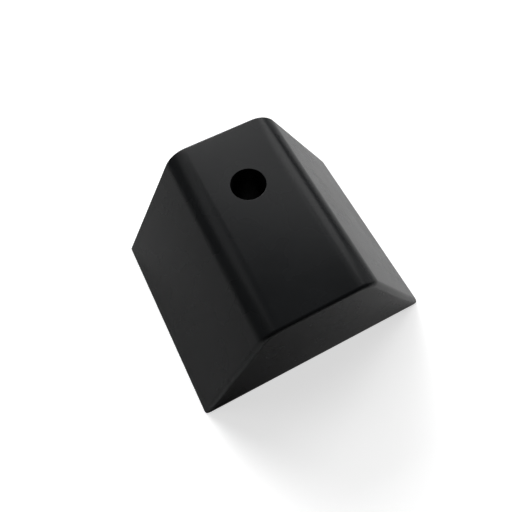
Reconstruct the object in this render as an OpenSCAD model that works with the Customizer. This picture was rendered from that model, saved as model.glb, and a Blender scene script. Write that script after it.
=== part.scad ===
// Bolt-down rubber speed bump block, about 150 x 122 x 75 mm.
// A moulded rubber block, cored out from below, with a steel bolt insert bonded into it.
// Frame: origin at the middle of the base, on the ground. +Z up, +X across the block,
// +Y towards the upright end. The leaning end faces -Y.

/* [Block] */
// Width of the base, across the block
base_width = 150; // [130:1:190]
// Length of the base, from the leaning end to the upright end
base_length = 122; // [105:1:160]
// Height above the ground
height = 75; // [62:1:95]
// Width of the flat top, between the corners that its rounded edges stand in for
top_width = 58; // [48:1:66]
// How far the leaning end comes in from the ground to the top
end_lean = 8; // [1:1:14]
// Radius of the two long top edges
crown_radius = 16; // [6:1:18]
// Radius of the top edge at the leaning end
leaning_top_radius = 2; // [0.5:0.5:3]
// Radius of the top edge at the upright end
upright_top_radius = 1; // [0.5:0.5:3]
// Radius of the two sloping corner edges at the leaning end
leaning_corner_radius = 3.5; // [2:0.5:6]
// Radius of the two sloping corner edges at the upright end
upright_corner_radius = 1.5; // [1:0.5:6]

/* [Fixing hole] */
// Diameter of the hole through the rubber, which passes the head of the screw
recess_diameter = 19; // [18:0.5:22]
// Diameter of the hole through the steel, a medium clearance hole for an M12 screw
screw_hole_diameter = 13.5; // [12.5:0.5:14.5]
// From the upright end to the middle of the hole
hole_to_upright_end = 37; // [31:1:42]
// Height of the face that the head of the screw pulls down on
seat_height = 35; // [28:1:44]

/* [Steel insert] */
// Outer diameter of the ring under the head of the screw
seat_washer_diameter = 44; // [40:1:48]
// Thickness of that ring
seat_washer_thickness = 4; // [3:0.5:6]
// Outer diameter of the tube between the two rings
sleeve_diameter = 21; // [19:0.5:26]
// Outer diameter of the ring at the ground
foot_washer_diameter = 48; // [42:1:58]
// Thickness of that ring
foot_washer_thickness = 4; // [3:0.5:6]
// Number of holes in each ring, which the rubber fills to key the ring in
key_holes = 6; // [4:1:8]
// Diameter of each of those holes
key_hole_diameter = 5; // [4:0.5:6]

/* [Underside] */
// Thickness of the two sloping sides, measured level
side_wall = 14; // [10:1:18]
// Thickness of the two ends, measured level
end_wall = 13; // [10:1:16]
// Thickness of the rubber above the hollows
roof = 16; // [12:1:20]
// Thickness of the ribs at the ground
rib = 10; // [7:1:13]
// Rubber around the ring at the ground
boss_cover = 6; // [4:1:8]
// Slope of the walls of the hollows, so that the mould's cores draw out
core_draft = 1.5; // [0.5:0.5:3]
// Width of the flat top of the hollows beside the boss, where the boss is widest
side_hollow_top = 9; // [7:1:12]
// Radius of the edges at the top of the hollows, along the block
core_radius = 4; // [3:0.5:5]
// Radius of the edges at the top of the hollows, across the block
core_end_radius = 2.5; // [1:0.5:2.5]

/* [Hidden] */
$fn = 96;
// Cutters run this far past the surface that they cut through
over = 2;
// A rounding stands this far proud of the two faces it joins, so that it crosses them cleanly
// where it would otherwise only touch
proud = 0.002;
side_slope = (base_width - top_width) / 2 / height;
lean_slope = end_lean / height;
draft_slope = tan(core_draft);
bolt_y = base_length / 2 - hole_to_upright_end;
recess_radius = recess_diameter / 2;
screw_radius = screw_hole_diameter / 2;
sleeve_radius = sleeve_diameter / 2;
boss_radius = foot_washer_diameter / 2 + boss_cover;
core_half = base_width / 2 - side_wall;
core_top = height - roof;
side_core_top = min(core_top, (core_half - boss_radius - side_hollow_top) / side_slope);
rubber = [0.14, 0.145, 0.15];
steel = [0.62, 0.62, 0.58];

function unit(v) = v / norm(v);

// A convex outline whose corners are rounded, each by its own radius. Zero keeps a corner sharp.
module rounded_outline(points, radii) {
  n = len(points);
  into = [for (i = [0:n - 1]) unit(points[(i + n - 1) % n] - points[i])];
  away = [for (i = [0:n - 1]) unit(points[(i + 1) % n] - points[i])];
  half = [for (i = [0:n - 1]) acos(into[i] * away[i]) / 2];
  polygon([for (i = [0:n - 1]) let (t = radii[i] / tan(half[i]))
    each (radii[i] > 0 ? [points[i] + t * into[i], points[i] + t * away[i]] : [points[i]])]);
  for (i = [0:n - 1]) if (radii[i] > 0)
    translate(points[i] + unit(into[i] + away[i]) * radii[i] / sin(half[i]))
      circle(r = radii[i] + proud);
}

// Runs an outline drawn in X and Z along Y, both ways from the middle.
module along_y(length) {
  rotate([90, 0, 0]) linear_extrude(height = length, center = true) children();
}

// Runs an outline drawn in Y and Z along X, both ways from the middle.
module along_x(length) {
  rotate([90, 0, 90]) linear_extrude(height = length, center = true) children();
}

// The full block with its rounded top edges and no hollows.
module block() {
  intersection() {
    along_y(base_length + 2 * over) rounded_outline(
      [[-base_width / 2, 0], [base_width / 2, 0], [top_width / 2, height], [-top_width / 2, height]],
      [0, 0, crown_radius, crown_radius]);
    along_x(base_width + 2 * over) rounded_outline(
      [[-base_length / 2, 0], [base_length / 2, 0], [base_length / 2, height],
       [-base_length / 2 + end_lean, height]],
      [0, 0, upright_top_radius, leaning_top_radius]);
  }
}

// What rounding takes off the sloping corner edge at the right. It stands on the corner at
// [base_width / 2, y] and goes in by lean for each mm of height. The end runs along X there.
module corner_cutter(y, lean, inward, radius) {
  rise = unit([-side_slope, lean * inward, 1]);
  along_side = unit([0, inward, 0] - rise[1] * inward * rise);
  across = cross(rise, along_side);
  along_end = unit([-1, 0, 0] + rise[0] * rise);
  flat_side = [1, 0];
  flat_end = unit([along_end * along_side, along_end * across]);
  half = acos(flat_side * flat_end) / 2;
  middle = unit(flat_side + flat_end) * radius / sin(half);
  reach = radius / tan(half);
  // How far the cutter's outline goes from the rounding's middle, as a share of what is needed
  spread = 1.5;
  margin = 2 * radius;
  translate([base_width / 2, y, 0])
    rotate([atan2(across[2], rise[2]), -asin(along_side[2]), atan2(along_side[1], along_side[0])])
      translate([0, 0, -margin])
      linear_extrude(height = height / rise[2] + 2 * margin) difference() {
        polygon([middle, middle + spread * (reach * flat_side - middle),
          middle - spread * middle, middle + spread * (reach * flat_end - middle)]);
        translate(middle) circle(r = radius + 2 * proud);
      }
}

// One hollow on the right, from y0 to y1 at the ground and up to top. slope0 and slope1 tell how
// fast its two ends close in with height.
module hollow(y0, y1, slope0, slope1, top) {
  intersection() {
    along_y(2 * base_length) rounded_outline(
      [[rib / 2 - over * draft_slope, -over], [core_half + over * side_slope, -over],
       [core_half - top * side_slope, top], [rib / 2 + top * draft_slope, top]],
      [0, 0, core_radius, core_radius]);
    along_x(2 * base_width) rounded_outline(
      [[y0 - over * slope0, -over], [y1 + over * slope1, -over],
       [y1 - top * slope1, top], [y0 + top * slope0, top]],
      [0, 0, core_end_radius, core_end_radius]);
  }
}

// The three hollows on the right. The middle rib meets the boss and the rear rib crosses it.
module hollows() {
  front = -base_length / 2 + end_wall;
  back = base_length / 2 - end_wall;
  rib_y = bolt_y - boss_radius;
  difference() {
    union() {
      hollow(front, rib_y - rib / 2, lean_slope, draft_slope, core_top);
      hollow(rib_y + rib / 2, bolt_y - rib / 2, draft_slope, draft_slope, side_core_top);
      hollow(bolt_y + rib / 2, back, draft_slope, draft_slope, side_core_top);
    }
    translate([0, bolt_y, -2 * over])
      cylinder(h = height, r1 = boss_radius - 2 * over * draft_slope,
        r2 = boss_radius + (height - 2 * over) * draft_slope);
  }
}

// A steel ring with keying holes, standing on z = 0 around the bolt's axis.
module ring(diameter, thickness, inner) {
  translate([0, bolt_y, 0]) difference() {
    cylinder(h = thickness, r = diameter / 2);
    translate([0, 0, -over]) cylinder(h = thickness + 2 * over, r = screw_radius);
    for (i = [0:key_holes - 1]) rotate([0, 0, (i + 0.5) * 360 / key_holes])
      translate([(diameter / 2 + inner) / 2, 0, -over])
        cylinder(h = thickness + 2 * over, r = key_hole_diameter / 2);
  }
}

module seat_washer() {
  color(steel) translate([0, 0, seat_height - seat_washer_thickness])
    ring(seat_washer_diameter, seat_washer_thickness, sleeve_radius);
}

module foot_washer() {
  color(steel) ring(foot_washer_diameter, foot_washer_thickness, sleeve_radius);
}

module bolt_sleeve() {
  length = seat_height - seat_washer_thickness - foot_washer_thickness;
  color(steel) translate([0, bolt_y, foot_washer_thickness]) difference() {
    cylinder(h = length, r = sleeve_radius);
    translate([0, 0, -over]) cylinder(h = length + 2 * over, r = screw_radius);
  }
}

module rubber_body() {
  color(rubber) difference() {
    block();
    for (side = [0, 1]) mirror([side, 0, 0]) {
      corner_cutter(-base_length / 2, lean_slope, 1, leaning_corner_radius);
      corner_cutter(base_length / 2, 0, -1, upright_corner_radius);
      hollows();
    }
    translate([0, bolt_y, -over]) cylinder(h = height + 2 * over, r = screw_radius);
    translate([0, bolt_y, seat_height]) cylinder(h = height, r = recess_radius);
    seat_washer();
    bolt_sleeve();
    foot_washer();
  }
}

rubber_body();
seat_washer();
bolt_sleeve();
foot_washer();
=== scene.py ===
"""A bolt-down rubber speed bump block with its bonded steel insert, in a plain studio.

The block is one black rubber moulding, cored out from below. The insert is two zinc-plated rings
joined by a tube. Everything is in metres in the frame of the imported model, so sizes that are given in
millimetres below pass through mm().
"""

import logging
import math
from collections.abc import Callable
from dataclasses import dataclass
from enum import Enum

import bmesh
import bpy
from mathutils import Matrix, Vector


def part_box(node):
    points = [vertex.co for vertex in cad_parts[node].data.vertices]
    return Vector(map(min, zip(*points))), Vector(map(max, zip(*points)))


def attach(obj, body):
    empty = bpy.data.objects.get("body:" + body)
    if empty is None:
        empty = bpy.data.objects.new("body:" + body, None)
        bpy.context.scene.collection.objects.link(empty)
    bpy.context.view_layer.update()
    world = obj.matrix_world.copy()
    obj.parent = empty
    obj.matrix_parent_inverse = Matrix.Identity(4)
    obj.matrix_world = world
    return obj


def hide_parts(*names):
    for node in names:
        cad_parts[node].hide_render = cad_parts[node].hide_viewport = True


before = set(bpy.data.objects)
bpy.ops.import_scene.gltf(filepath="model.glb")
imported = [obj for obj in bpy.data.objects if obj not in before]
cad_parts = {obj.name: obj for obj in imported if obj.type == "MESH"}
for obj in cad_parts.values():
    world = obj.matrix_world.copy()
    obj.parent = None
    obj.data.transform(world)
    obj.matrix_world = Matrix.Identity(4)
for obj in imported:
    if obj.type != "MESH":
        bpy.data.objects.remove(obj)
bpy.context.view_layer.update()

LOG = logging.getLogger("speed_bump_block")

# Sockets of a colour mix, which share their names with the mixes of other types.
MIX_A = 6
MIX_B = 7
MIX_RESULT = 2

# Points nearer to each other than this are one point, in millimetres.
SAME_POINT = 0.003

# Steps around a circle, by what it bounds.
OUTER_STEPS = 128
BORE_STEPS = 96
KEY_STEPS = 32

# Lets the large flat faces set the shading of the roundings beside them.
FLATS_FIRST = 100


def mm(value: float) -> float:
    """Turns millimetres into metres."""
    return value / 1000.0


def linear(hex_colour: str) -> tuple[float, float, float, float]:
    """Turns an sRGB colour into the linear one that shaders take.

    Args:
        hex_colour: Six hex digits, with or without a leading hash.

    Returns:
        Red, green, blue and an alpha of 1.
    """
    digits = hex_colour.lstrip("#")
    channels = [int(digits[i : i + 2], 16) / 255.0 for i in (0, 2, 4)]
    bent = [c / 12.92 if c <= 0.04045 else ((c + 0.055) / 1.055) ** 2.4 for c in channels]
    return (bent[0], bent[1], bent[2], 1.0)


def add_node(tree: bpy.types.NodeTree, kind: str, inputs: dict | None = None, **settings) -> bpy.types.Node:
    """Adds a node with its settings and what goes into it.

    Args:
        tree: The node tree that gets the node.
        kind: The node's type name.
        inputs: Input name or number to a value, to the output socket that feeds it, or to a list of
            sockets that all feed it.
        **settings: Properties of the node itself.

    Returns:
        The new node.
    """
    node = tree.nodes.new(kind)
    for name, value in settings.items():
        setattr(node, name, value)
    for key, value in (inputs or {}).items():
        sources = value if isinstance(value, list) else [value]
        if isinstance(sources[0], bpy.types.NodeSocket):
            for source in sources:
                tree.links.new(source, node.inputs[key])
        else:
            node.inputs[key].default_value = value
    return node


def new_material(name: str) -> tuple[bpy.types.Material, bpy.types.NodeTree]:
    """Makes a material with an empty node tree.

    Args:
        name: The material's name.

    Returns:
        The material and its tree.
    """
    material = bpy.data.materials.new(name)
    material.use_nodes = True
    material.node_tree.nodes.clear()
    return material, material.node_tree


def mesh_object(name: str, mesh: bpy.types.Mesh) -> bpy.types.Object:
    """Puts a mesh into the scene as an object at the origin."""
    piece = bpy.data.objects.new(name, mesh)
    bpy.context.scene.collection.objects.link(piece)
    return piece


def settle(piece: bpy.types.Object) -> bpy.types.Object:
    """Applies every modifier of a piece, so that what is left is a plain mesh.

    Args:
        piece: The object with live modifiers.

    Returns:
        The same object.
    """
    bpy.context.view_layer.update()
    evaluated = piece.evaluated_get(bpy.context.evaluated_depsgraph_get())
    mesh = bpy.data.meshes.new_from_object(evaluated)
    piece.modifiers.clear()
    piece.data = mesh
    mesh.name = piece.name
    return piece


def finish_piece(piece: bpy.types.Object, slot: str, *nodes: str) -> bpy.types.Object:
    """Hands a finished piece to the frame: it rides on the root body and stands for CAD nodes.

    Args:
        piece: The finished object.
        slot: The record's material slot. Not used.
        *nodes: The CAD nodes that it stands for.

    Returns:
        The same object.
    """
    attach(piece, "root")
    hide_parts(*nodes)
    LOG.info("%s: %d faces, for %s", piece.name, len(piece.data.polygons), ", ".join(nodes))
    return piece


def shade(piece: bpy.types.Object, sharpest: float) -> None:
    """Shades a piece smooth, apart from edges that turn by more than an angle.

    Args:
        piece: The object.
        sharpest: The angle in degrees.
    """
    for face in piece.data.polygons:
        face.use_smooth = True
    piece.data.set_sharp_from_angle(angle=math.radians(sharpest))
    weights = piece.modifiers.new("weights", "WEIGHTED_NORMAL")
    weights.keep_sharp = True
    weights.weight = FLATS_FIRST


def weld(piece: bpy.types.Object) -> None:
    """Merges points that all but coincide, and the slivers between them."""
    shape = bmesh.new()
    shape.from_mesh(piece.data)
    bmesh.ops.remove_doubles(shape, verts=shape.verts, dist=mm(SAME_POINT))
    bmesh.ops.dissolve_degenerate(shape, edges=shape.edges, dist=mm(SAME_POINT))
    shape.to_mesh(piece.data)
    shape.free()


def round_edges(piece: bpy.types.Object, steps: int, radius_of: Callable[[Vector, Vector], float]) -> None:
    """Rounds the edges of a mesh, each with its own radius.

    Args:
        piece: The object.
        steps: Faces across each rounding.
        radius_of: Gives an edge's radius in millimetres from its middle and its direction.
    """
    shape = bmesh.new()
    shape.from_mesh(piece.data)
    reach = []
    for edge in shape.edges:
        start, end = (v.co for v in edge.verts)
        radius = radius_of((start + end) / 2, (end - start).normalized())
        reach.append(radius * math.tan(edge.calc_face_angle() / 2))
    widest = max(reach)
    layer = shape.edges.layers.float.new("bevel_weight_edge")
    for edge, distance in zip(shape.edges, reach):
        edge[layer] = distance / widest
    shape.to_mesh(piece.data)
    shape.free()
    bevel = piece.modifiers.new("rounding", "BEVEL")
    bevel.limit_method = "WEIGHT"
    bevel.offset_type = "OFFSET"
    bevel.width = mm(widest)
    bevel.segments = steps
    bevel.use_clamp_overlap = False
    settle(piece)


def turned(
    name: str, centre: Vector, outline: list[tuple[float, float]], steps: int = BORE_STEPS
) -> bpy.types.Object:
    """Turns a closed outline around an upright axis.

    Args:
        name: The object's name.
        centre: Where the axis meets the ground, in metres.
        outline: Radius and height of each point, in millimetres, in order around the outline.
        steps: Steps around the axis.

    Returns:
        The closed solid. Points on the axis become one.
    """
    shape = bmesh.new()
    rings = []
    for radius, z in outline:
        ring = []
        for i in range(steps):
            turn = math.tau * i / steps
            offset = Vector((mm(radius) * math.cos(turn), mm(radius) * math.sin(turn), mm(z)))
            ring.append(shape.verts.new(centre + offset))
        rings.append(ring)
    for low, high in zip(rings, rings[1:] + rings[:1]):
        for i in range(steps):
            j = (i + 1) % steps
            shape.faces.new((low[i], low[j], high[j], high[i]))
    bmesh.ops.remove_doubles(shape, verts=shape.verts, dist=mm(SAME_POINT))
    bmesh.ops.recalc_face_normals(shape, faces=shape.faces)
    mesh = bpy.data.meshes.new(name)
    shape.to_mesh(mesh)
    shape.free()
    return mesh_object(name, mesh)


# ---------------------------------------------------------------------------------------------
# Geometry Nodes: what stands in a circle around the screw
# ---------------------------------------------------------------------------------------------


class Kind(Enum):
    """Kinds of input that a Geometry Nodes tree takes."""

    SIZE = "NodeSocketFloat"
    COUNT = "NodeSocketInt"
    PLACE = "NodeSocketVector"
    FINISH = "NodeSocketMaterial"


KEY_INPUTS = {
    "Keys": Kind.COUNT,
    "Key circle radius": Kind.SIZE,
    "Key radius": Kind.SIZE,
    "Height": Kind.SIZE,
    "Place": Kind.PLACE,
    "Finish": Kind.FINISH,
}


def new_shape_tree(name: str, inputs: dict[str, Kind]) -> tuple[bpy.types.NodeTree, bpy.types.Node]:
    """Makes a Geometry Nodes tree with named inputs.

    Args:
        name: The tree's name.
        inputs: The kind of each input by its name.

    Returns:
        The tree and the node that gives its inputs.
    """
    tree = bpy.data.node_groups.new(name, "GeometryNodeTree")
    tree.interface.new_socket("Geometry", in_out="OUTPUT", socket_type="NodeSocketGeometry")
    for label, kind in inputs.items():
        tree.interface.new_socket(label, in_out="INPUT", socket_type=kind.value)
    return tree, add_node(tree, "NodeGroupInput")


def end_shape_tree(tree: bpy.types.NodeTree, given: bpy.types.Node, shape: bpy.types.NodeSocket) -> None:
    """Puts a tree's shape in its place as real geometry with its finish.

    Args:
        tree: The tree.
        given: The node that gives its inputs, among them Place and Finish.
        shape: The shape around the tree's own origin.
    """
    moved = add_node(
        tree, "GeometryNodeTransform", {"Geometry": shape, "Translation": given.outputs["Place"]}
    )
    real = add_node(tree, "GeometryNodeRealizeInstances", {"Geometry": moved.outputs["Geometry"]})
    dressed = add_node(
        tree,
        "GeometryNodeSetMaterial",
        {"Geometry": real.outputs["Geometry"], "Material": given.outputs["Finish"]},
    )
    add_node(tree, "NodeGroupOutput", {"Geometry": dressed.outputs["Geometry"]})


def on_key_circle(
    tree: bpy.types.NodeTree, given: bpy.types.Node, key: bpy.types.NodeSocket
) -> bpy.types.NodeSocket:
    """Repeats a shape around the key circle, the first half a step away from +X.

    Args:
        tree: The tree.
        given: The node that gives its inputs, among them Keys and Key circle radius.
        key: The shape that is repeated.

    Returns:
        The instances.
    """
    circle = add_node(
        tree,
        "GeometryNodeCurvePrimitiveCircle",
        {"Resolution": given.outputs["Keys"], "Radius": given.outputs["Key circle radius"]},
    )
    half_step = add_node(tree, "ShaderNodeMath", {0: math.pi, 1: given.outputs["Keys"]}, operation="DIVIDE")
    turn = add_node(tree, "ShaderNodeCombineXYZ", {"Z": half_step.outputs["Value"]})
    start = add_node(
        tree,
        "GeometryNodeTransform",
        {"Geometry": circle.outputs["Curve"], "Rotation": turn.outputs["Vector"]},
    )
    placed = add_node(
        tree, "GeometryNodeInstanceOnPoints", {"Points": start.outputs["Geometry"], "Instance": key}
    )
    return placed.outputs["Instances"]


def keyed_ring_tree() -> bpy.types.NodeTree:
    """Makes the tree of a flat ring with a bore and a circle of keying holes.

    Returns:
        The tree. Its inputs are KEY_INPUTS, an outer radius and a bore radius.
    """
    sizes = {"Outer radius": Kind.SIZE, "Bore radius": Kind.SIZE}
    tree, given = new_shape_tree("keyed_ring", KEY_INPUTS | sizes)
    outlines = []
    circles = {"Outer radius": OUTER_STEPS, "Bore radius": BORE_STEPS, "Key radius": KEY_STEPS}
    for label, steps in circles.items():
        circle = add_node(
            tree, "GeometryNodeCurvePrimitiveCircle", {"Resolution": steps, "Radius": given.outputs[label]}
        )
        outlines.append(circle.outputs["Curve"])
    holes = on_key_circle(tree, given, outlines.pop())
    real_holes = add_node(tree, "GeometryNodeRealizeInstances", {"Geometry": holes})
    outline = add_node(
        tree, "GeometryNodeJoinGeometry", {"Geometry": [*outlines, real_holes.outputs["Geometry"]]}
    )
    face = add_node(tree, "GeometryNodeFillCurve", {"Curve": outline.outputs["Geometry"]}, mode="NGONS")
    raised = add_node(
        tree,
        "GeometryNodeExtrudeMesh",
        {"Mesh": face.outputs["Mesh"], "Offset Scale": given.outputs["Height"], "Individual": False},
    )
    under = add_node(tree, "GeometryNodeFlipFaces", {"Mesh": face.outputs["Mesh"]})
    both = add_node(
        tree, "GeometryNodeJoinGeometry", {"Geometry": [raised.outputs["Mesh"], under.outputs["Mesh"]]}
    )
    closed = add_node(
        tree,
        "GeometryNodeMergeByDistance",
        {"Geometry": both.outputs["Geometry"], "Distance": mm(SAME_POINT)},
    )
    end_shape_tree(tree, given, closed.outputs["Geometry"])
    return tree


def key_posts_tree() -> bpy.types.NodeTree:
    """Makes the tree of the rubber posts that fill a ring's keying holes.

    Returns:
        The tree. Its inputs are KEY_INPUTS.
    """
    tree, given = new_shape_tree("key_posts", KEY_INPUTS)
    post = add_node(
        tree,
        "GeometryNodeMeshCylinder",
        {"Vertices": KEY_STEPS, "Radius": given.outputs["Key radius"], "Depth": given.outputs["Height"]},
    )
    end_shape_tree(tree, given, on_key_circle(tree, given, post.outputs["Mesh"]))
    return tree


def grow(name: str, tree: bpy.types.NodeTree, values: dict[str, object]) -> bpy.types.Object:
    """Runs a Geometry Nodes tree and keeps its result as a plain mesh.

    Args:
        name: The new object's name.
        tree: The tree.
        values: The tree's inputs by name.

    Returns:
        The object.
    """
    piece = mesh_object(name, bpy.data.meshes.new(name))
    modifier = piece.modifiers.new(tree.name, "NODES")
    modifier.node_group = tree
    for label, value in values.items():
        modifier[tree.interface.items_tree[label].identifier] = value
    return settle(piece)


# ---------------------------------------------------------------------------------------------
# Finishes
# ---------------------------------------------------------------------------------------------


@dataclass(frozen=True)
class MouldedRubber:
    """Black rubber, compression moulded against a lightly blasted steel tool.

    The eye gets a near-black satin: a soft broad gloss that strengthens at a flat angle, a fine even
    grain from the tool, slow waviness from shrinkage, and faint grey patches where wax has bloomed.
    The real grain is about 0.15 mm wide. It is drawn coarser, as far as it needs to show.
    """

    colour: str = "#141516"
    bloom: str = "#161718"
    roughness: float = 0.27
    roughness_spread: float = 0.015
    specular_level: float = 0.10
    grain_mm: float = 0.55
    grain_height_mm: float = 0.009
    waviness_mm: float = 14.0
    waviness_height_mm: float = 0.04
    patch_mm: float = 22.0
    patch_range: tuple[float, float] = (0.3, 0.7)

    def build(self, name: str) -> bpy.types.Material:
        """Builds the material.

        Args:
            name: The material's name.

        Returns:
            The finished material.
        """
        material, tree = new_material(name)
        place = add_node(tree, "ShaderNodeTexCoord").outputs["Object"]
        patches = add_node(
            tree,
            "ShaderNodeTexNoise",
            {"Vector": place, "Scale": 1 / mm(self.patch_mm), "Detail": 2.0, "Roughness": 0.5},
        )
        spread = add_node(
            tree,
            "ShaderNodeMapRange",
            {
                "Value": patches.outputs["Fac"],
                "From Min": self.patch_range[0],
                "From Max": self.patch_range[1],
            },
        )
        colour = add_node(
            tree,
            "ShaderNodeMix",
            {"Factor": spread.outputs["Result"], MIX_A: linear(self.colour), MIX_B: linear(self.bloom)},
            data_type="RGBA",
        )
        return self._surface(material, tree, place, patches, colour)

    def _surface(
        self,
        material: bpy.types.Material,
        tree: bpy.types.NodeTree,
        place: bpy.types.NodeSocket,
        patches: bpy.types.Node,
        colour: bpy.types.Node,
    ) -> bpy.types.Material:
        """Adds the gloss and the relief, and joins them to the colour.

        Args:
            material: The material being built.
            tree: Its node tree.
            place: The Object coordinates.
            patches: The slow noise that also varies the gloss.
            colour: The colour mix.

        Returns:
            The finished material.
        """
        gloss = add_node(
            tree,
            "ShaderNodeMapRange",
            {
                "Value": patches.outputs["Fac"],
                "From Min": self.patch_range[0],
                "From Max": self.patch_range[1],
                "To Min": self.roughness - self.roughness_spread,
                "To Max": self.roughness + self.roughness_spread,
            },
        )
        waves = add_node(
            tree,
            "ShaderNodeTexNoise",
            {"Vector": place, "Scale": 1 / mm(self.waviness_mm), "Detail": 2.0},
        )
        grain = add_node(
            tree,
            "ShaderNodeTexNoise",
            {"Vector": place, "Scale": 1 / mm(self.grain_mm), "Detail": 3.0, "Roughness": 0.6},
        )
        slow = add_node(
            tree,
            "ShaderNodeBump",
            {"Height": waves.outputs["Fac"], "Strength": 1.0, "Distance": mm(self.waviness_height_mm)},
        )
        fine = add_node(
            tree,
            "ShaderNodeBump",
            {
                "Height": grain.outputs["Fac"],
                "Strength": 1.0,
                "Distance": mm(self.grain_height_mm),
                "Normal": slow.outputs["Normal"],
            },
        )
        shader = add_node(
            tree,
            "ShaderNodeBsdfPrincipled",
            {
                "Base Color": colour.outputs[MIX_RESULT],
                "Roughness": gloss.outputs["Result"],
                "IOR": 1.5,
                "Specular IOR Level": self.specular_level,
                "Normal": fine.outputs["Normal"],
            },
        )
        add_node(tree, "ShaderNodeOutputMaterial", {"Surface": shader.outputs["BSDF"]})
        return material


@dataclass(frozen=True)
class ZincPlatedSteel:
    """Stamped steel with bright zinc plating.

    The eye gets a cool silver metal with a soft, slightly cloudy gloss and fine marks left by the
    press tool, duller where the moulding has touched it. The marks are drawn coarser than the real
    0.1 mm, so that they show.
    """

    colour: str = "#b9bbbb"
    dull: str = "#8d8f90"
    roughness_range: tuple[float, float] = (0.24, 0.46)
    cloud_mm: float = 6.0
    mark_mm: float = 0.4
    mark_height_mm: float = 0.006

    def build(self, name: str) -> bpy.types.Material:
        """Builds the material.

        Args:
            name: The material's name.

        Returns:
            The finished material.
        """
        material, tree = new_material(name)
        place = add_node(tree, "ShaderNodeTexCoord").outputs["Object"]
        clouds = add_node(
            tree,
            "ShaderNodeTexNoise",
            {"Vector": place, "Scale": 1 / mm(self.cloud_mm), "Detail": 5.0},
        )
        marks = add_node(
            tree,
            "ShaderNodeTexNoise",
            {"Vector": place, "Scale": 1 / mm(self.mark_mm), "Detail": 2.0},
        )
        colour = add_node(
            tree,
            "ShaderNodeMix",
            {"Factor": clouds.outputs["Fac"], MIX_A: linear(self.colour), MIX_B: linear(self.dull)},
            data_type="RGBA",
        )
        gloss = add_node(
            tree,
            "ShaderNodeMapRange",
            {
                "Value": clouds.outputs["Fac"],
                "To Min": self.roughness_range[0],
                "To Max": self.roughness_range[1],
            },
        )
        relief = add_node(
            tree,
            "ShaderNodeBump",
            {"Height": marks.outputs["Fac"], "Strength": 1.0, "Distance": mm(self.mark_height_mm)},
        )
        shader = add_node(
            tree,
            "ShaderNodeBsdfPrincipled",
            {
                "Base Color": colour.outputs[MIX_RESULT],
                "Metallic": 1.0,
                "Roughness": gloss.outputs["Result"],
                "Normal": relief.outputs["Normal"],
            },
        )
        add_node(tree, "ShaderNodeOutputMaterial", {"Surface": shader.outputs["BSDF"]})
        return material


def seen_as_backdrop(
    tree: bpy.types.NodeTree, in_gloss: float | bpy.types.NodeSocket
) -> bpy.types.NodeSocket:
    """Tells how far a ray should see a plain white backdrop.

    Args:
        tree: The tree of the floor or the room.
        in_gloss: What share of the backdrop gloss and glass see. The rest would turn black rubber grey.

    Returns:
        The amount: 1 for the camera, the share for gloss and glass, 0 for light that falls on things.
    """
    path = add_node(tree, "ShaderNodeLightPath")
    bounced = add_node(
        tree,
        "ShaderNodeMath",
        {0: path.outputs["Is Glossy Ray"], 1: path.outputs["Is Transmission Ray"]},
        operation="ADD",
    )
    total = add_node(
        tree,
        "ShaderNodeMath",
        {0: bounced.outputs["Value"], 1: in_gloss, 2: path.outputs["Is Camera Ray"]},
        operation="MULTIPLY_ADD",
    )
    return total.outputs["Value"]


@dataclass(frozen=True)
class PaleCard:
    """Pale matt card under the block.

    The eye gets a white ground with the block's soft shadow. Beside the block the card glows in a painted
    pool of light that only gloss sees, so the rubber's right side shows a painted reflection.
    """

    colour: str = "#dcdcdc"
    near_lift: float = 0.65
    far_lift: float = 1.0
    near_mm: float = 180.0
    far_mm: float = 700.0
    # Painted pool of light: the card glows here for gloss rays only, a painted reflection in the rubber's
    # right side.
    painted_pool_mm: tuple[float, float] = (110.0, 30.0)
    painted_pool_core_mm: float = 60.0
    painted_pool_edge_mm: float = 200.0
    painted_pool_in_gloss: float = 0.46
    rest_in_gloss: float = 0.0

    def build(self, name: str) -> bpy.types.Material:
        """Builds the material.

        Args:
            name: The material's name.

        Returns:
            The finished material.
        """
        material, tree = new_material(name)
        place = add_node(tree, "ShaderNodeTexCoord").outputs["Object"]
        away = add_node(tree, "ShaderNodeVectorMath", {0: place}, operation="LENGTH")
        lift = add_node(
            tree,
            "ShaderNodeMapRange",
            {
                "Value": away.outputs["Value"],
                "From Min": mm(self.near_mm),
                "From Max": mm(self.far_mm),
                "To Min": self.near_lift,
                "To Max": self.far_lift,
            },
        )
        # Painted pool of light: a glow that only gloss sees, full within the core and gone past the edge.
        painted_pool_centre = (mm(self.painted_pool_mm[0]), mm(self.painted_pool_mm[1]), 0.0)
        from_painted_pool = add_node(tree, "ShaderNodeVectorMath", {0: place, 1: painted_pool_centre}, operation="DISTANCE")
        in_gloss = add_node(
            tree,
            "ShaderNodeMapRange",
            {
                "Value": from_painted_pool.outputs["Value"],
                "From Min": mm(self.painted_pool_core_mm),
                "From Max": mm(self.painted_pool_edge_mm),
                "To Min": self.painted_pool_in_gloss,
                "To Max": self.rest_in_gloss,
            },
        )
        seen = seen_as_backdrop(tree, in_gloss.outputs["Result"])
        strength = add_node(
            tree, "ShaderNodeMath", {0: lift.outputs["Result"], 1: seen}, operation="MULTIPLY"
        )
        # The glow whitens the card for the camera, and paints the pool of light that gloss sees.
        glow = add_node(tree, "ShaderNodeEmission", {"Strength": strength.outputs["Value"]})
        card = add_node(tree, "ShaderNodeBsdfDiffuse", {"Color": linear(self.colour), "Roughness": 1.0})
        both = add_node(tree, "ShaderNodeAddShader", {0: card.outputs["BSDF"], 1: glow.outputs["Emission"]})
        add_node(tree, "ShaderNodeOutputMaterial", {"Surface": both.outputs["Shader"]})
        return material


# ---------------------------------------------------------------------------------------------
# The rubber block
# ---------------------------------------------------------------------------------------------


class Change(Enum):
    """What a tool does to the block."""

    CUT = "DIFFERENCE"
    ADD = "UNION"


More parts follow.
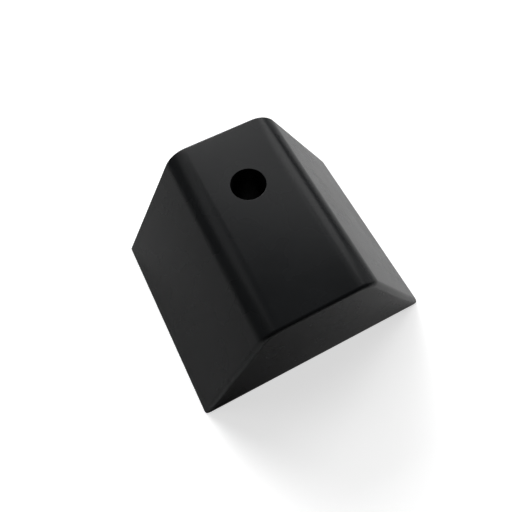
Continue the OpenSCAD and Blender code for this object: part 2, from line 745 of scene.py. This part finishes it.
@dataclass(frozen=True)
class End:
    """One end of the block, in millimetres.

    Args:
        side: -1 for the leaning end, 1 for the upright end.
        lean: How far the end comes in from the ground to the top.
        top_radius: Radius of its top edge.
        corner_radius: Radius of its two corner edges.
    """

    side: int
    lean: float
    top_radius: float
    corner_radius: float


@dataclass
class Hollow:
    """One hollow under the block, on the right-hand side, in millimetres.

    Args:
        front: Where its front wall meets the ground.
        back: Where its back wall meets the ground.
        front_slope: How fast the front wall leans in with height.
        top: Height of its roof.
    """

    front: float
    back: float
    front_slope: float
    top: float


@dataclass
class RubberBlock:
    """The rubber moulding: rounded outside, hole for the screw, six hollows and the ribs between them.

    Outer sizes come from the frame. The others are in millimetres and repeat the CAD's.
    """

    top_width: float = 58.0
    crown_radius: float = 16.0
    crown_steps: int = 20
    leaning_end: End = End(side=-1, lean=8.0, top_radius=2.0, corner_radius=3.5)
    upright_end: End = End(side=1, lean=0.0, top_radius=1.0, corner_radius=1.5)
    foot_radius: float = 0.6
    end_steps: int = 6
    recess_radius: float = 9.5
    lip_radius: float = 0.2
    lip_steps: int = 6
    overrun: float = 5.0
    hole_to_upright_end: float = 37.0
    side_wall: float = 14.0
    end_wall: float = 13.0
    roof: float = 16.0
    rib: float = 10.0
    boss_radius: float = 30.0
    side_hollow_top: float = 9.0
    draft: float = math.tan(math.radians(1.5))
    hollow_radius: float = 3.0
    hollow_steps: int = 6
    sharpest: float = 32.0

    def __post_init__(self) -> None:
        """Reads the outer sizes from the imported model."""
        low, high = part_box("rubber_body")
        self.width = (high.x - low.x) * 1000
        self.length = (high.y - low.y) * 1000
        self.height = (high.z - low.z) * 1000
        self.bolt_y = self.length / 2 - self.hole_to_upright_end
        self.side_slope = (self.width - self.top_width) / 2 / self.height
        self.side_rise = math.atan(1 / self.side_slope)

    def build(self, insert: "SteelInsert", finish: bpy.types.Material) -> bpy.types.Object:
        """Makes the whole moulding.

        Args:
            insert: The steel insert, which leaves its shape in the rubber.
            finish: The rubber.

        Returns:
            The block as one closed mesh.
        """
        block = self._outside()
        for hollow in self._hollows():
            for side in (-1, 1):
                self._change(block, self._hollow_core(hollow, side), Change.CUT)
        centre = insert.centre
        self._change(block, turned("boss", centre, self._boss_outline()), Change.ADD)
        self._change(block, turned("fixing_hole", centre, self._hole_outline(insert)), Change.CUT)
        for posts in insert.key_posts(finish):
            self._change(block, posts, Change.ADD)
        shade(block, self.sharpest)
        settle(block)
        block.data.materials.clear()
        block.data.materials.append(finish)
        return finish_piece(block, "rubber", "rubber_body")

    def _crown(self) -> list[tuple[float, float]]:
        """Gives the right-hand crown from the side to the top, as X and Z in millimetres."""
        radius = self.crown_radius
        middle_x = self.top_width / 2 - radius * math.tan(self.side_rise / 2)
        start = math.pi / 2 - self.side_rise
        points = []
        for i in range(self.crown_steps + 1):
            turn = start + self.side_rise * i / self.crown_steps
            x = middle_x + radius * math.cos(turn)
            points.append((x, self.height - radius + radius * math.sin(turn)))
        return points

    def _outside(self) -> bpy.types.Object:
        """Makes the full block with its crowns and all its outer edges rounded.

        Returns:
            The block without any hole or hollow.
        """
        crown = self._crown()
        right = [(self.width / 2, 0.0), *crown]
        outline = [*right, *((-x, z) for x, z in reversed(right))]
        shape = bmesh.new()
        loops = []
        for end in (self.leaning_end, self.upright_end):
            loop = []
            for x, z in outline:
                y = end.side * (self.length / 2 - end.lean * z / self.height)
                loop.append(shape.verts.new((mm(x), mm(y), mm(z))))
            loops.append(loop)
            shape.faces.new(loop)
        for i in range(len(outline)):
            shape.faces.new((loops[0][i - 1], loops[0][i], loops[1][i], loops[1][i - 1]))
        bmesh.ops.recalc_face_normals(shape, faces=shape.faces)
        mesh = bpy.data.meshes.new("rubber_block")
        shape.to_mesh(mesh)
        shape.free()
        block = mesh_object("rubber_block", mesh)
        crown_foot = crown[0][1]

        def radius_of(middle: Vector, along: Vector) -> float:
            """Gives an outer edge's radius: round the foot, up the corners and over the ends."""
            z = middle.z * 1000
            if z < self.foot_radius:
                return self.foot_radius
            if abs(along.y) > math.cos(math.radians(45)):
                return 0.0
            end = self.leaning_end if middle.y < 0 else self.upright_end
            over = min(max((z - crown_foot) / (self.height - crown_foot), 0.0), 1.0)
            return end.corner_radius + (end.top_radius - end.corner_radius) * over

        round_edges(block, self.end_steps, radius_of)
        return block

    def _hollows(self) -> list[Hollow]:
        """Lists the three hollows of one side.

        Returns:
            The hollows from the leaning end to the upright end.
        """
        front = -self.length / 2 + self.end_wall
        back = self.length / 2 - self.end_wall
        lean_slope = self.leaning_end.lean / self.height
        rib_y = self.bolt_y - self.boss_radius
        high = self.height - self.roof
        core_half = self.width / 2 - self.side_wall
        low = (core_half - self.boss_radius - self.side_hollow_top) / self.side_slope
        half_rib = self.rib / 2
        return [
            Hollow(front, rib_y - half_rib, lean_slope, high),
            Hollow(rib_y + half_rib, self.bolt_y - half_rib, self.draft, low),
            Hollow(self.bolt_y + half_rib, back, self.draft, low),
        ]

    def _hollow_core(self, hollow: Hollow, side: int) -> bpy.types.Object:
        """Makes the core that leaves a hollow.

        Args:
            hollow: The hollow.
            side: 1 for the right, -1 for the left.

        Returns:
            The core with rounded edges, reaching a little below the ground.
        """
        shape = bmesh.new()
        layers = []
        for z in (-2 * self.hollow_radius, hollow.top):
            inner = self.rib / 2 + z * self.draft
            outer = self.width / 2 - self.side_wall - z * self.side_slope
            front = hollow.front + z * hollow.front_slope
            back = hollow.back - z * self.draft
            corners = ((inner, front), (outer, front), (outer, back), (inner, back))
            layers.append([shape.verts.new((side * mm(x), mm(y), mm(z))) for x, y in corners])
            shape.faces.new(layers[-1])
        low, high = layers
        for i in range(len(low)):
            shape.faces.new((low[i - 1], low[i], high[i], high[i - 1]))
        bmesh.ops.recalc_face_normals(shape, faces=shape.faces)
        mesh = bpy.data.meshes.new("hollow_core")
        shape.to_mesh(mesh)
        shape.free()
        core = mesh_object("hollow_core", mesh)
        round_edges(core, self.hollow_steps, lambda middle, along: self.hollow_radius)
        return core

    def _boss_outline(self) -> list[tuple[float, float]]:
        """Gives the outline of the boss around the insert, as radius and height."""
        top = self.height - self.roof
        return [(0.0, 0.0), (self.boss_radius, 0.0), (self.boss_radius + top * self.draft, top), (0.0, top)]

    def _hole_outline(self, insert: "SteelInsert") -> list[tuple[float, float]]:
        """Gives the outline of what the hole and the insert leave out, as radius and height.

        Args:
            insert: The steel insert.

        Returns:
            The outline, with the rounded lip at the top.
        """
        lip = []
        for i in range(self.lip_steps + 1):
            turn = math.pi / 2 * i / self.lip_steps
            out = self.lip_radius * (1 - math.cos(turn))
            down = self.lip_radius * (1 - math.sin(turn))
            lip.append((self.recess_radius + out, self.height - down))
        foot, seat, tube = insert.foot, insert.seat, insert.tube
        return [
            (0.0, -self.overrun),
            (foot.radius, -self.overrun),
            (foot.radius, foot.top),
            (tube.radius, foot.top),
            (tube.radius, seat.bottom),
            (seat.radius, seat.bottom),
            (seat.radius, seat.top),
            (self.recess_radius, seat.top),
            *lip,
            (lip[-1][0], self.height + self.overrun),
            (0.0, self.height + self.overrun),
        ]

    def _change(self, block: bpy.types.Object, tool: bpy.types.Object, change: Change) -> None:
        """Cuts a tool out of the block, or adds it on, and removes the tool.

        Args:
            block: The block.
            tool: The other solid.
            change: What the tool does.
        """
        boolean = block.modifiers.new("change", "BOOLEAN")
        boolean.operation = change.value
        boolean.solver = "EXACT"
        boolean.object = tool
        weld(settle(block))
        bpy.data.objects.remove(tool)


# ---------------------------------------------------------------------------------------------
# The steel insert
# ---------------------------------------------------------------------------------------------


@dataclass
class RoundPart:
    """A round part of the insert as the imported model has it, in millimetres.

    Args:
        node: The CAD node's name.
    """

    node: str

    def __post_init__(self) -> None:
        """Reads the part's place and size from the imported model."""
        low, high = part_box(self.node)
        self.radius = (high.x - low.x) * 500
        self.bottom = low.z * 1000
        self.top = high.z * 1000
        self.centre = Vector(((low.x + high.x) / 2, (low.y + high.y) / 2, 0.0))


@dataclass
class SteelInsert:
    """Two zinc-plated rings and the tube between them, with the places that rubber keys them by.

    Outer sizes come from the frame. The others are in millimetres and repeat the CAD's.
    """

    bore_radius: float = 6.75
    keys: int = 6
    key_radius: float = 2.5
    edge: float = 0.35
    edge_steps: int = 2
    post_recess: float = 0.15
    post_root: float = 0.5
    sharpest: float = 40.0

    def __post_init__(self) -> None:
        """Reads the three parts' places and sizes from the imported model."""
        self.seat = RoundPart("seat_washer")
        self.tube = RoundPart("bolt_sleeve")
        self.foot = RoundPart("foot_washer")
        self.centre = self.foot.centre

    def build(self, finish: bpy.types.Material) -> list[bpy.types.Object]:
        """Makes the three pieces.

        Args:
            finish: The plated steel.

        Returns:
            The seat ring, the tube and the foot ring.
        """
        tree = keyed_ring_tree()
        pieces = [
            self._ring("seat_ring", tree, self.seat, finish),
            self._tube(finish),
            self._ring("foot_ring", tree, self.foot, finish),
        ]
        for piece, part in zip(pieces, (self.seat, self.tube, self.foot)):
            shade(piece, self.sharpest)
            finish_piece(settle(piece), "zinc_steel", part.node)
        return pieces

    def key_posts(self, rubber: bpy.types.Material) -> list[bpy.types.Object]:
        """Makes the rubber posts that run through the keying holes of both rings.

        Args:
            rubber: The rubber.

        Returns:
            The posts of the foot ring, which stop just short of the ground, and of the seat ring.
        """
        tree = key_posts_tree()
        reach = (
            (self.foot, self.foot.bottom + self.post_recess),
            (self.seat, self.seat.bottom - self.post_root),
        )
        posts = []
        for ring, low in reach:
            high = ring.top + self.post_root
            values = self._key_values(ring, rubber, high - low, (low + high) / 2)
            posts.append(grow("key_posts", tree, values))
        return posts

    def _key_values(
        self, ring: RoundPart, finish: bpy.types.Material, height: float, level: float
    ) -> dict[str, object]:
        """Gives the tree inputs that rings and posts share.

        Args:
            ring: The ring.
            finish: The material.
            height: The shape's height in millimetres.
            level: The height of the shape's own origin in millimetres.

        Returns:
            The inputs by name.
        """
        return {
            "Keys": self.keys,
            "Key circle radius": mm((ring.radius + self.tube.radius) / 2),
            "Key radius": mm(self.key_radius),
            "Height": mm(height),
            "Place": (ring.centre.x, ring.centre.y, mm(level)),
            "Finish": finish,
        }

    def _ring(
        self, name: str, tree: bpy.types.NodeTree, ring: RoundPart, finish: bpy.types.Material
    ) -> bpy.types.Object:
        """Makes a ring with its bore, its keying holes and its broken edges.

        Args:
            name: The object's name.
            tree: The tree of a keyed ring.
            ring: The ring's place and size.
            finish: The plated steel.

        Returns:
            The ring.
        """
        values = self._key_values(ring, finish, ring.top - ring.bottom, ring.bottom)
        values["Outer radius"] = mm(ring.radius)
        values["Bore radius"] = mm(self.bore_radius)
        piece = grow(name, tree, values)
        broken = piece.modifiers.new("broken_edges", "BEVEL")
        broken.limit_method = "ANGLE"
        broken.angle_limit = math.radians(self.sharpest)
        broken.width = mm(self.edge)
        broken.segments = self.edge_steps
        return settle(piece)

    def _tube(self, finish: bpy.types.Material) -> bpy.types.Object:
        """Makes the tube, with a chamfer at every end edge.

        Args:
            finish: The plated steel.

        Returns:
            The tube.
        """
        outer, inner, edge = self.tube.radius, self.bore_radius, self.edge
        low, high = self.tube.bottom, self.tube.top
        outline = [
            (inner, low + edge),
            (inner + edge, low),
            (outer - edge, low),
            (outer, low + edge),
            (outer, high - edge),
            (outer - edge, high),
            (inner + edge, high),
            (inner, high - edge),
        ]
        piece = turned("sleeve_tube", self.tube.centre, outline)
        piece.data.materials.append(finish)
        return piece


# ---------------------------------------------------------------------------------------------
# The studio
# ---------------------------------------------------------------------------------------------


@dataclass(frozen=True)
class Lamp:
    """A soft square lamp that faces the block.

    Args:
        name: The lamp's name.
        azimuth: Degrees from +X towards +Y.
        elevation: Degrees above the floor.
        power: Watts.
        distance: Metres from the block.
        side: The lamp's side in metres.
    """

    name: str
    azimuth: float
    elevation: float
    power: float
    distance: float = 1.1
    side: float = 0.5

    def build(self) -> bpy.types.Object:
        """Hangs the lamp.

        Returns:
            The lamp, which the camera itself doesn't see.
        """
        light = bpy.data.lights.new(self.name, "AREA")
        light.shape = "SQUARE"
        light.size = self.side
        light.energy = self.power
        lamp = bpy.data.objects.new(self.name, light)
        around, up = math.radians(self.azimuth), math.radians(self.elevation)
        out = Vector((math.cos(around) * math.cos(up), math.sin(around) * math.cos(up), math.sin(up)))
        facing = out.to_track_quat("Z", "Y").to_matrix().to_4x4()
        lamp.matrix_world = Matrix.Translation(out * self.distance) @ facing
        lamp.visible_camera = False
        bpy.context.scene.collection.objects.link(lamp)
        return lamp


@dataclass
class Studio:
    """The card, the lamps, the room and the camera."""

    floor_half: float = 1.5
    room_level: float = 0.03
    room_in_gloss: float = 0.03
    place_mm: tuple[float, float, float] = (-49.39, -96.89, 277.45)
    aim_mm: tuple[float, float, float] = (-2.61, 1.19, 0.0)
    roll: float = -2.09
    lens_mm: float = 31.80
    sensor_mm: float = 36.0
    shift: tuple[float, float] = (-0.0195, 0.0365)
    lamps: tuple[Lamp, ...] = (
        Lamp("window_high", azimuth=90, elevation=34, power=10.4),
        Lamp("window_low", azimuth=90, elevation=16, power=7.3),
        Lamp("window_right", azimuth=60, elevation=16, power=4.4),
        Lamp("left_high", azimuth=135, elevation=52, power=1.1),
        Lamp("back_high", azimuth=60, elevation=52, power=2.25),
        Lamp("right_high", azimuth=30, elevation=52, power=0.75),
        Lamp("right_middle", azimuth=30, elevation=34, power=3.25),
        Lamp("right_low", azimuth=0, elevation=16, power=0.9),
    )

    def build(self) -> None:
        """Makes the floor, the lamps, the room and the camera."""
        self._floor()
        self._camera()
        self._room()
        for lamp in self.lamps:
            lamp.build()

    def _floor(self) -> None:
        """Lays the card that the block stands on."""
        half = self.floor_half
        mesh = bpy.data.meshes.new("card")
        corners = [(-half, -half, 0), (half, -half, 0), (half, half, 0), (-half, half, 0)]
        mesh.from_pydata(corners, [], [(0, 1, 2, 3)])
        card = mesh_object("card", mesh)
        card.data.materials.append(PaleCard().build("pale_card"))

    def _camera(self) -> None:
        """Sets the camera up and makes it the scene's camera."""
        place = Vector([mm(v) for v in self.place_mm])
        aim = Vector([mm(v) for v in self.aim_mm])
        ahead = (aim - place).normalized()
        level = ahead.cross(Vector((0, 0, 1))).normalized()
        turn = Matrix.Rotation(math.radians(self.roll), 3, -ahead)
        right = turn @ level
        up = right.cross(ahead)
        lens = bpy.data.cameras.new("camera")
        lens.lens = self.lens_mm
        lens.sensor_width = self.sensor_mm
        lens.shift_x, lens.shift_y = self.shift
        lens.clip_start = mm(10)
        camera = bpy.data.objects.new("camera", lens)
        camera.matrix_world = Matrix.Translation(place) @ Matrix((right, up, -ahead)).transposed().to_4x4()
        bpy.context.scene.collection.objects.link(camera)
        bpy.context.scene.camera = camera

    def _room(self) -> None:
        """Sets the room around the card: white to look at, and almost dark as a light."""
        world = bpy.data.worlds.new("room")
        world.use_nodes = True
        tree = world.node_tree
        tree.nodes.clear()
        level = add_node(
            tree,
            "ShaderNodeMapRange",
            {"Value": seen_as_backdrop(tree, self.room_in_gloss), "To Min": self.room_level, "To Max": 1.0},
        )
        room = add_node(tree, "ShaderNodeBackground", {"Strength": level.outputs["Result"]})
        room.inputs["Color"].default_value = (1, 1, 1, 1)
        add_node(tree, "ShaderNodeOutputWorld", {"Surface": room.outputs["Background"]})
        bpy.context.scene.world = world


def main() -> None:
    """Builds the block, its insert and the studio, in order."""
    logging.basicConfig(level=logging.INFO, format="%(name)s %(message)s")
    scene = bpy.context.scene
    scene.view_settings.view_transform = "Standard"
    rubber = MouldedRubber().build("moulded_rubber")
    zinc = ZincPlatedSteel().build("zinc_plated_steel")
    insert = SteelInsert()
    RubberBlock().build(insert, rubber)
    insert.build(zinc)
    Studio().build()


if __name__ == "__main__":
    main()
